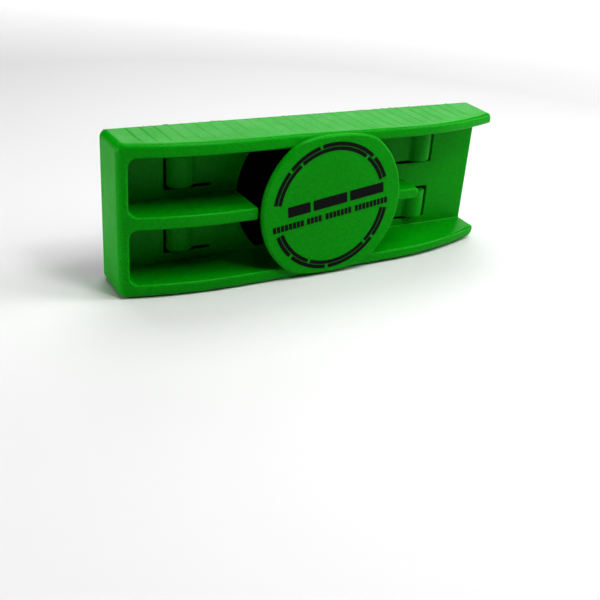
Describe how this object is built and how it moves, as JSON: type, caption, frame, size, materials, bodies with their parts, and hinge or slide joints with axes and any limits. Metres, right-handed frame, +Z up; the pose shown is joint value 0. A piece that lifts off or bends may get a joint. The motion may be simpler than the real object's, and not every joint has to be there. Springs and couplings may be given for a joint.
{
  "type": "magnetic whiteboard eraser",
  "caption": "Moulded whiteboard eraser with open marker-pen channels, sprung pen clips, a round label plate, magnet strips and a glued felt wiping pad.",
  "frame": {"origin": "middle of the bounding box at its underside, as the eraser stands on one long edge", "axes": "+X along the length towards the open end of the marker channels, +Y out of the felt's wiping face, +Z up across the width"},
  "size_m": [0.1508, 0.0274, 0.0524],
  "materials": {
    "green_plastic": "satin injection-moulded green with a fine grain",
    "felt": "needled black felt with pale fibre flecks",
    "adhesive": "thin dark self-adhesive film",
    "ferrite": "dark brown-grey rubber-bonded ferrite"
  },
  "bodies": {
    "shell": {"body_shell": "green_plastic", "label_disc": "green_plastic", "felt_pad": "felt", "adhesive_film": "adhesive", "magnet_closed": "ferrite", "magnet_open": "ferrite"},
    "clip_closed_lower": {"clip_closed_lower": "green_plastic"},
    "clip_closed_upper": {"clip_closed_upper": "green_plastic"},
    "clip_open_lower": {"clip_open_lower": "green_plastic"},
    "clip_open_upper": {"clip_open_upper": "green_plastic"}
  },
  "joints": [
    {"name": "clip_closed_lower_bend", "type": "hinge", "parent": "shell", "child": "clip_closed_lower", "pos_m": [-0.03815, 0.00605, 0.01465], "axis": [0, 0, -1], "range_deg": [0, 11], "stiffness_Nm_per_rad": 0.8},
    {"name": "clip_closed_upper_bend", "type": "hinge", "parent": "shell", "child": "clip_closed_upper", "pos_m": [-0.03815, 0.00605, 0.03775], "axis": [0, 0, -1], "range_deg": [0, 11], "stiffness_Nm_per_rad": 0.8},
    {"name": "clip_open_lower_bend", "type": "hinge", "parent": "shell", "child": "clip_open_lower", "pos_m": [0.03865, 0.00605, 0.01465], "axis": [0, 0, 1], "range_deg": [0, 11], "stiffness_Nm_per_rad": 0.8},
    {"name": "clip_open_upper_bend", "type": "hinge", "parent": "shell", "child": "clip_open_upper", "pos_m": [0.03865, 0.00605, 0.03775], "axis": [0, 0, 1], "range_deg": [0, 11], "stiffness_Nm_per_rad": 0.8}
  ]
}
